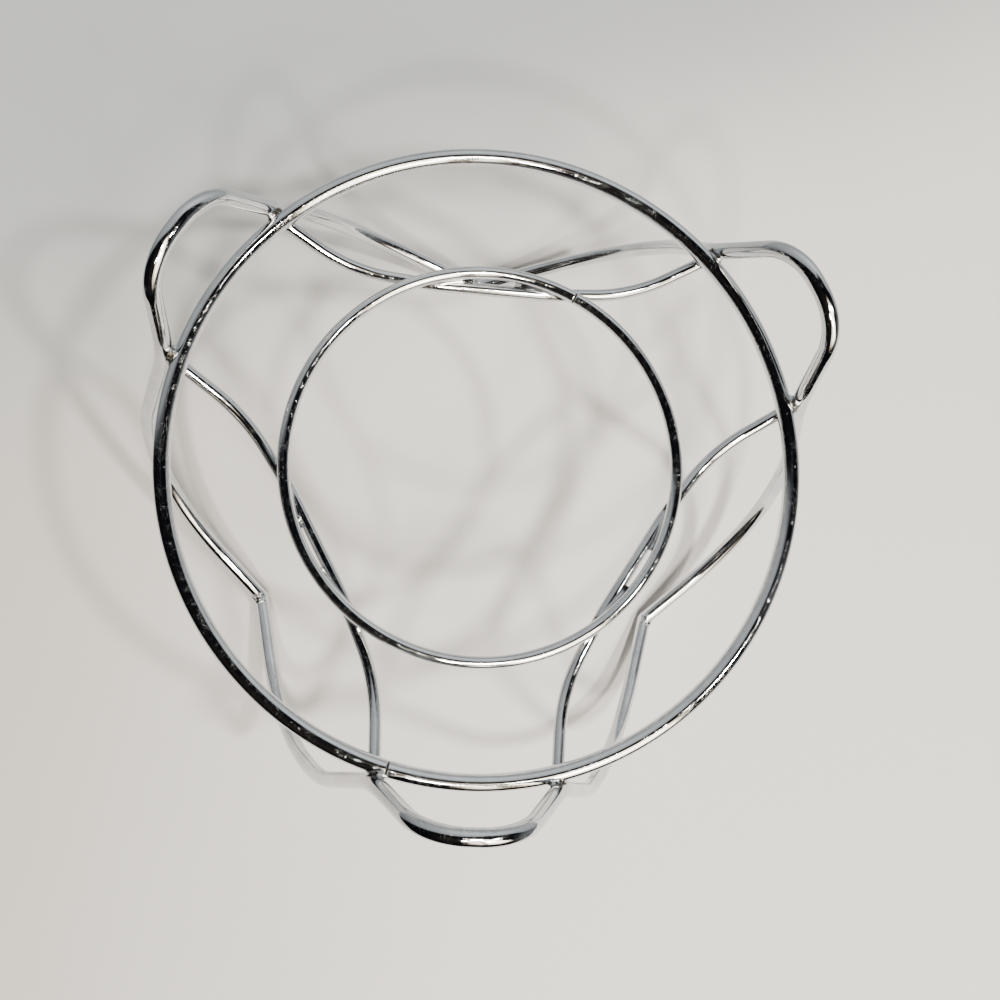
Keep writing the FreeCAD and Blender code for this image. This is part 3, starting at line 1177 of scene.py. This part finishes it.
@dataclass
class Fillet:
    """Weld metal where two wires cross: the hollow that a small ball rolls round them."""

    name: str
    first: np.ndarray
    second: np.ndarray
    first_radius: float
    second_radius: float
    roll: float
    seed: int
    lump_size: float = 1.3
    roughness: float = 0.014
    relief: float = 0.004
    root: float = 0.3
    window: float = 14.0
    columns: int = 120
    arc_rows: int = 13
    rounds: int = 60
    longest_move: float = 0.4
    least_spread: float = 0.05
    centre: np.ndarray = field(init=False)
    axis: np.ndarray = field(init=False)

    def __post_init__(self) -> None:
        """Find the place and the way between the wires where they come closest."""
        places = nearest_on(self.first, self.second)
        best = np.linalg.norm(places - self.first, axis=1).argmin()
        near = nearest_on(places[best:best + 1], self.first)[0]
        far = nearest_on(near[None], self.second)[0]
        self.centre, self.axis = (near + far) / 2, unit(far - near)

    def build(self, shop: "Shop") -> None:
        """Make the fillet and hand it over for its CAD node."""
        ball, near_first, near_second = self._roll_round()
        to_first, to_second = unit(near_first - ball), unit(near_second - ball)
        bend = np.arccos(np.clip((to_first * to_second).sum(1), -1.0, 1.0))[:, None]
        rows = [near_first - to_first * self.first_radius * self.root]
        lumps = Lumps(self.seed, self.lump_size)
        for share in np.linspace(0.0, 1.0, self.arc_rows):
            ray = (np.sin((1 - share) * bend) * to_first + np.sin(share * bend) * to_second)
            ray = ray / np.sin(bend)
            row = ball + self.roll * ray
            lift = lumps.at(row) * self.roughness * math.sin(math.pi * share) + self.relief
            rows.append(row - ray * lift[:, None])
        rows.append(near_second - to_second * self.second_radius * self.root)
        made = mesh_object(self.name + "_fillet", np.array(rows),
                           grid_faces(len(rows), self.columns, closed_rows=True).tolist())
        self._turn_outwards(made)
        # Near the crossing its finish is dark: residue, and painted crevice shade.
        shop.hand_over(shop.coat(made, shop.weld_chrome), Slot.WELD, self.name)

    def _roll_round(self) -> tuple[np.ndarray, np.ndarray, np.ndarray]:
        """Roll a ball round the crossing so that it touches both wires.

        Returns:
            The ball's centres, and the places on the two centre lines that are nearest.
        """
        first, second = (line[np.linalg.norm(line - self.centre, axis=1) < self.window]
                         for line in (self.first, self.second))
        start = unit(np.cross(self.axis, UP if abs(self.axis[2]) < 0.7 else
                              np.array([1.0, 0.0, 0.0])))
        side = np.cross(self.axis, start)
        turns = np.linspace(0.0, 2 * math.pi, self.columns, endpoint=False)[:, None]
        away = np.cos(turns) * start + np.sin(turns) * side
        reach = np.full(self.columns, self.first_radius)
        lift = np.zeros(self.columns)
        most = self.longest_move
        for _ in range(self.rounds):
            ball = self.centre + reach[:, None] * away + lift[:, None] * self.axis
            near_first, near_second = nearest_on(ball, first), nearest_on(ball, second)
            gap_first = np.linalg.norm(ball - near_first, axis=1)
            gap_second = np.linalg.norm(ball - near_second, axis=1)
            slope_first = (ball - near_first) / gap_first[:, None]
            slope_second = (ball - near_second) / gap_second[:, None]
            miss_first = gap_first - self.first_radius - self.roll
            miss_second = gap_second - self.second_radius - self.roll
            a, b = (slope_first * away).sum(1), slope_first @ self.axis
            c, d = (slope_second * away).sum(1), slope_second @ self.axis
            spread = a * d - b * c
            spread = np.where(np.abs(spread) < self.least_spread,
                              np.copysign(self.least_spread, spread), spread)
            reach -= np.clip((d * miss_first - b * miss_second) / spread, -most, most)
            lift -= np.clip((a * miss_second - c * miss_first) / spread, -most, most)
        return ball, near_first, near_second

    @staticmethod
    def _turn_outwards(made: bpy.types.Object) -> None:
        """Turn a closed mesh's faces outwards, by the sign of its volume."""
        work = bmesh.new()
        work.from_mesh(made.data)
        if work.calc_volume(signed=True) < 0.0:
            bmesh.ops.reverse_faces(work, faces=work.faces)
        work.to_mesh(made.data)
        work.free()
        made.data.shade_smooth()


@dataclass
class Welds:
    """All the crossings of the stand."""

    legs: LegWires
    crosses: CrossWires
    line_step: float = 0.12
    ear_roll: float = 0.75
    cross_roll: float = 0.8
    small_roll: float = 0.75

    def fillets(self) -> list[Fillet]:
        """Fillets of all the crossings.

        Returns:
            Two for each leg and four for each cross wire.
        """
        ring, small_ring = self.legs.ring, self.crosses.small_ring
        heavy, light = ring.wire / 2, small_ring.wire / 2
        ring_line, small_line = ring.line(step=self.line_step), small_ring.line(
            step=self.line_step)
        leg_line, cross_line = self.legs.line(self.line_step), self.crosses.line(self.line_step)
        end_turn = LEG_SPACING / 2 - self.crosses.end_angle
        rest_turn = math.degrees(math.acos(1 - self.crosses.inset / small_ring.radius))
        found = []
        for index in range(LEG_COUNT):
            leg_angle, cross_angle = self.legs.angle(index), self.crosses.angle(index)
            sides = (("a", 1), ("b", -1))
            for part, side in sides:
                found.append(Fillet(
                    f"leg_{index + 1}_ring_weld_{part}",
                    local(ring_line, leg_angle + side * self.legs.neck_angle),
                    turned(half_of(leg_line, side), leg_angle), heavy, heavy, self.ear_roll,
                    seed=100 + 2 * index + side))
            for part, side in sides:
                cross = turned(half_of(cross_line, side), cross_angle)
                found.append(Fillet(
                    f"cross_{index + 1}_ring_weld_{part}",
                    local(ring_line, cross_angle + side * end_turn), cross, heavy, light,
                    self.cross_roll, seed=120 + 2 * index + side))
                found.append(Fillet(
                    f"cross_{index + 1}_small_ring_weld_{part}",
                    local(small_line, cross_angle + side * rest_turn), cross, light, light,
                    self.small_roll, seed=140 + 2 * index + side))
        return found


def half_of(line: np.ndarray, side: int) -> np.ndarray:
    """The half of a line whose y has the given sign."""
    return line[line[:, 1] * side > 0]


def local(line: np.ndarray, angle: float, width: float = 20.0) -> np.ndarray:
    """The part of a ring's line around an angle, in order.

    Args:
        line: The ring's line.
        angle: The angle, in degrees.
        width: How far the part goes to either side, in degrees.

    Returns:
        The part's points, without doubles.
    """
    angles = np.degrees(np.arctan2(line[:, 1], line[:, 0]))
    offset = (angles - angle + 180.0) % 360.0 - 180.0
    order = np.argsort(offset)
    offset, line = offset[order], line[order]
    chosen = line[np.abs(offset) < width]
    keep = np.append(True, np.linalg.norm(np.diff(chosen, axis=0), axis=1) > 1e-4)
    return chosen[keep]


# ---- Workshop and stage ----


class Shop:
    """Draws pieces, coats them and hands them to the frame."""

    def __init__(self) -> None:
        """Make the finishes and the wire drawer."""
        self.wire_chrome = Chrome("chromed drawn wire").material()
        self.weld_chrome = Chrome("chromed weld metal", polish=0.09, haze=0.10,
                                  line_depth=0.0, ripple_depth=0.02, speck_share=0.35,
                                  grime_and_shade_reach=4.3).material()
        self.drawer = WireDrawer()
        self.weld_places: bpy.types.Object | None = None
        self.places = np.zeros((0, 3))

    def mark_welds(self, places: np.ndarray) -> None:
        """Keep the welds' places, which the wires and the welds measure their residue and
        painted shade from.
        """
        self.places = places
        mesh = bpy.data.meshes.new("weld_places")
        mesh.from_pydata((places * MM).tolist(), [], [])
        self.weld_places = linked("weld_places", mesh)

    def coat(self, made: bpy.types.Object, finish: bpy.types.Material,
             gaps: np.ndarray | None = None) -> bpy.types.Object:
        """Give a mesh its finish and the attributes that the finish reads.

        Args:
            made: The mesh object.
            finish: Its material.
            gaps: Distance of each point from the residue and painted shade; from the welds if
                left out.

        Returns:
            The same object.
        """
        mesh = made.data
        mesh.materials.append(finish)
        points = np.zeros(len(mesh.vertices) * 3)
        mesh.vertices.foreach_get("co", points)
        points = points.reshape(-1, 3)
        if gaps is None:
            gaps = np.linalg.norm(points[:, None] / MM - self.places[None], axis=2).min(axis=1)
        gap = mesh.attributes.new(WELD_GAP, "FLOAT", "POINT")
        gap.data.foreach_set("value", gaps * MM)
        straight = mesh.attributes.new(STRAIGHT, "FLOAT_VECTOR", "POINT")
        straight.data.foreach_set("vector", points.ravel())
        return made

    def hand_over(self, made: bpy.types.Object, slot: Slot, *nodes: str) -> None:
        """Let a piece ride on the stand's body and stand for its CAD nodes."""
        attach(made, BODY)
        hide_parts(*nodes)
        log.info("%s: %d faces, for %s", made.name, len(made.data.polygons), ", ".join(nodes))

    def clear(self) -> None:
        """Remove the helper that holds the welds' places."""
        bpy.data.objects.remove(self.weld_places)


@dataclass(frozen=True)
class Floor:
    """Plain pale sheet that the stand is on, with painted shade: darker to the left, darker and
    cooler at the back.
    """

    size: float = 1.0
    centre: tuple[float, float] = (0.16, 0.22)
    pale: tuple[float, float, float] = (0.88, 0.86, 0.84)
    # Painted shade: a darker tone to the left and a darker, cooler tone at the back.
    painted_shade_left: tuple[float, float, float] = (0.62, 0.595, 0.565)
    painted_cool_shade_back: tuple[float, float, float] = (0.50, 0.525, 0.54)
    painted_shade_left_edge: tuple[float, float] = (0.05, -0.22)
    painted_cool_shade_back_edge: tuple[float, float] = (0.05, 0.18)
    painted_cool_shade_back_slant: float = 0.45
    grain: float = 0.04

    def build(self) -> None:
        """Make the floor."""
        mesh = bpy.data.meshes.new("floor")
        half, (x, y) = self.size / 2, self.centre
        mesh.from_pydata([(x - half, y - half, 0), (x + half, y - half, 0),
                          (x + half, y + half, 0), (x - half, y + half, 0)], [],
                         [(0, 1, 2, 3)])
        mesh.materials.append(self._finish())
        linked("floor", mesh)

    def _finish(self) -> bpy.types.Material:
        """Matte finish with soft changes of tone, which are painted shade.

        Returns:
            The material.
        """
        finish = bpy.data.materials.new("pale matte floor")
        finish.use_nodes = True
        board = Board(finish.node_tree)
        place = board.node("ShaderNodeTexCoord").outputs["Object"]
        x, y, _ = board.parts(place)
        cloud = board.value("ShaderNodeTexNoise", None,
                            {"Vector": place, "Scale": 12.0, "Detail": 3.0}, "Fac")
        ragged = (cloud - 0.5) * self.grain
        # Painted shade, darker towards the left and darker and cooler towards the back.
        left = (x + ragged).rise(*self.painted_shade_left_edge)
        top = (y - x * self.painted_cool_shade_back_slant + ragged).rise(*self.painted_cool_shade_back_edge)
        tone = board.mix(top, board.mix(left, self.pale, self.painted_shade_left), self.painted_cool_shade_back)
        shader = board.node("ShaderNodeBsdfPrincipled", None,
                            {"Base Color": tone, "Roughness": 0.9, "Specular IOR Level": 0.1})
        board.node("ShaderNodeOutputMaterial", None, {"Surface": shader.outputs["BSDF"]})
        return finish


@dataclass(frozen=True)
class SoftBox:
    """A rectangular studio lamp that faces the stand."""

    name: str
    azimuth: float
    from_zenith: float
    distance: float
    width: float
    height: float
    power: float
    colour: tuple[float, float, float]
    aim: tuple[float, float, float] = (0.0, 0.0, 0.08)

    def build(self) -> None:
        """Hang the lamp."""
        lamp = bpy.data.lights.new(self.name, "AREA")
        lamp.shape = "RECTANGLE"
        lamp.size, lamp.size_y = self.width, self.height
        lamp.energy = self.power
        lamp.color = self.colour
        made = linked(self.name, lamp)
        lean, turn = math.radians(self.from_zenith), math.radians(self.azimuth)
        way = Vector((math.sin(lean) * math.cos(turn), math.sin(lean) * math.sin(turn),
                      math.cos(lean)))
        made.location = Vector(self.aim) + way * self.distance
        made.rotation_mode = "QUATERNION"
        made.rotation_quaternion = way.to_track_quat("Z", "Y")


@dataclass(frozen=True)
class Glow:
    """A soft oval place on the sky map, in degrees."""

    across: float
    along: float
    width: float
    height: float

    def away(self, across: Value, along: Value) -> Value:
        """Squared distance from its middle, 1 at its edge."""
        return (((across - self.across) / self.width) ** 2
                + ((along - self.along) / self.height) ** 2)


@dataclass(frozen=True)
class Room:
    """Light of the room, drawn on a flat map of the sky.

    The map's centre is straight up, and its degrees are degrees away from straight up:
    across is towards +X and along is towards +Y.
    """

    pale: tuple[float, float, float] = (0.96, 1.0, 1.0)
    cream: tuple[float, float, float] = (1.0, 0.88, 0.68)
    brown: tuple[float, float, float] = (1.0, 0.70, 0.48)
    dark: tuple[float, float, float] = (0.006, 0.006, 0.008)
    backdrop: tuple[float, float, float] = (0.78, 0.77, 0.76)
    wall_glow: Glow = Glow(15.0, 48.0, 36.0, 21.0)
    cream_glow: Glow = Glow(30.0, -34.0, 24.0, 30.0)
    brown_glow: Glow = Glow(-26.0, -42.0, 18.0, 24.0)
    wall_edge: tuple[float, float] = (-5.0, 7.0)
    wall_start: float = 12.0
    wall_dip: float = 16.0
    dip_in: tuple[float, float] = (0.0, 15.0)
    dip_out: tuple[float, float] = (75.0, 50.0)
    wall_level: float = 0.36
    glow_level: float = 0.85
    shade_edge: tuple[float, float] = (-60.0, -95.0)
    shade_depth: float = 0.4
    side_edge: tuple[float, float] = (55.0, 85.0)
    side_level: float = 0.20
    right_start: float = 9.0
    right_slant: float = 1.04
    right_edge: tuple[float, float] = (-4.0, 6.0)
    left_slant: float = 0.08
    left_edge: tuple[float, float] = (-4.0, 4.0)
    near_edge: tuple[float, float] = (0.0, -16.0)
    low_edge: tuple[float, float] = (86.0, 68.0)
    bar_way: tuple[float, float] = (0.97, 0.25)
    bar_width: tuple[float, float] = (0.4, 0.05)
    bar_edge: tuple[float, float] = (1.3, 0.6)
    bar_depth: float = 0.9
    cream_least: float = 0.25
    cream_level: float = 10.0
    diffuse_share: float = 0.16
    wall_diffuse: float = 0.12
    brown_level: float = 0.022
    bar_level: float = 0.12
    fringe_level: float = 0.9

    def build(self) -> None:
        """Fill the world's tree."""
        world = bpy.data.worlds.new("room")
        bpy.context.scene.world = world
        world.use_nodes = True
        board = Board(world.node_tree)
        across, along, lean = self._sky(board)
        rays = board.node("ShaderNodeLightPath").outputs
        sharp = (Value(board, rays["Is Glossy Ray"])
                 * (1.0 - self.diffuse_share) + self.diffuse_share)
        wall = self._wall(across, along) * (self.wall_diffuse
                                            + sharp * (1.0 - self.wall_diffuse))

        # A cream light shines between two dark sides; a narrow bar stands in it.
        right = self.right_start - along * self.right_slant - across
        left = across + along * self.left_slant
        gap = (right.rise(*self.right_edge) * left.rise(*self.left_edge)
               * along.rise(*self.near_edge) * lean.rise(*self.low_edge))
        (way_across, way_along), (width, growth) = self.bar_way, self.bar_width
        off_bar = (across * way_across + along * way_along) / (lean * growth + width)
        bar = abs(off_bar).rise(*self.bar_edge)
        off_cream = self.cream_glow.away(across, along)
        fall = self.cream_least + (1.0 - self.cream_least) / (1.0 + off_cream * off_cream)
        cream = gap * gap * (1.0 - bar * self.bar_depth) * fall * sharp * self.cream_level
        off_brown = self.brown_glow.away(across, along)
        brown = (self.brown_level / (1.0 + off_brown * off_brown)
                 + gap * bar * self.bar_level + gap * (1.0 - gap) * self.fringe_level)

        total = self.dark
        for level, tint in ((wall, self.pale), (cream, self.cream), (brown, self.brown)):
            part = board.vector("SCALE", {0: tint, "Scale": level})
            total = board.vector("ADD", {0: total, 1: part})
        tone = board.mix(rays["Is Camera Ray"], total, self.backdrop)
        light = board.node("ShaderNodeBackground", None, {"Color": tone, "Strength": 1.0})
        board.node("ShaderNodeOutputWorld", None, {"Surface": light.outputs["Background"]})

    def _wall(self, across: Value, along: Value) -> Value:
        """Pale wall on the +Y side, brightest a little right of its middle.

        Args:
            across: Place on the sky map towards +X.
            along: Place on the sky map towards +Y.

        Returns:
            How bright the wall is.
        """
        dip = across.rise(*self.dip_in) * across.rise(*self.dip_out)
        edge = self.wall_start + dip * self.wall_dip
        glow = self.glow_level / (1.0 + self.wall_glow.away(across, along))
        wall = (along - edge).rise(*self.wall_edge) * (self.wall_level + glow)
        wall = wall * (1.0 - across.rise(*self.shade_edge) * self.shade_depth)
        return wall.at_least(across.rise(*self.side_edge) * self.side_level)

    @staticmethod
    def _sky(board: Board) -> tuple[Value, Value, Value]:
        """Find the place on the sky map.

        Args:
            board: The world's board.

        Returns:
            The place across and along, and the angle from straight up, in degrees.
        """
        x, y, z = board.parts(board.node("ShaderNodeTexCoord").outputs["Generated"])
        lean = board.value("ShaderNodeMath", {"operation": "ARCCOSINE"}, {0: z})
        lean = lean * math.degrees(1.0)
        level = ((x * x + y * y) ** 0.5).at_least(1e-4)
        return x / level * lean, y / level * lean, lean


@dataclass(frozen=True)
class Camera:
    """Hand-held camera above the stand, nearly straight down."""

    place: tuple[float, float, float] = (-23.64, -46.44, 374.91)
    turn: tuple[float, float, float] = (6.799, -6.072, 3.228)
    lens: float = 37.65
    sensor: float = 36.0

    def build(self) -> None:
        """Set up the camera."""
        data = bpy.data.cameras.new("camera")
        data.lens = self.lens
        data.sensor_width = self.sensor
        data.clip_start, data.clip_end = 0.01, 50.0
        made = linked("camera", data)
        made.location = Vector(self.place) * MM
        made.rotation_euler = Euler([math.radians(angle) for angle in self.turn], "XYZ")
        bpy.context.scene.camera = made


LAMPS = (
    SoftBox("lamp_right", azimuth=-20.0, from_zenith=32.0, distance=1.6, width=0.12,
            height=0.12, power=20.5, colour=(1.0, 0.95, 0.87)),
    SoftBox("lamp_near", azimuth=-70.0, from_zenith=22.0, distance=1.6, width=0.14,
            height=0.14, power=17.5, colour=(1.0, 0.95, 0.88)),
    SoftBox("lamp_front", azimuth=-90.0, from_zenith=37.0, distance=1.6, width=0.12,
            height=0.12, power=13.5, colour=(1.0, 0.94, 0.85)),
    SoftBox("lamp_low", azimuth=-60.0, from_zenith=43.0, distance=1.6, width=0.30,
            height=0.20, power=8.5, colour=(1.0, 0.94, 0.85)),
)


def main() -> None:
    """Build the stand's pieces, the stage and the camera, in order."""
    logging.basicConfig(level=logging.INFO, format="%(name)s: %(message)s")
    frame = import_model()
    log.info("%d CAD nodes", len(frame["nodes"]))
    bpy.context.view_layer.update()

    shop = Shop()
    large_ring = Hoop("large_ring", seam_angle=255.4)
    small_ring = Hoop("small_ring", seam_angle=64.5, step=0.7)
    legs = LegWires(large_ring)
    crosses = CrossWires(large_ring, small_ring)
    fillets = Welds(legs, crosses).fillets()
    shop.mark_welds(np.array([fillet.centre for fillet in fillets]))

    large_ring.build(shop, seed=1)
    small_ring.build(shop, seed=2)
    legs.build(shop)
    crosses.build(shop)
    for fillet in fillets:
        fillet.build(shop)
    shop.clear()

    Floor().build()
    for lamp in LAMPS:
        lamp.build()
    Room().build()
    Camera().build()


if __name__ == "__main__":
    main()
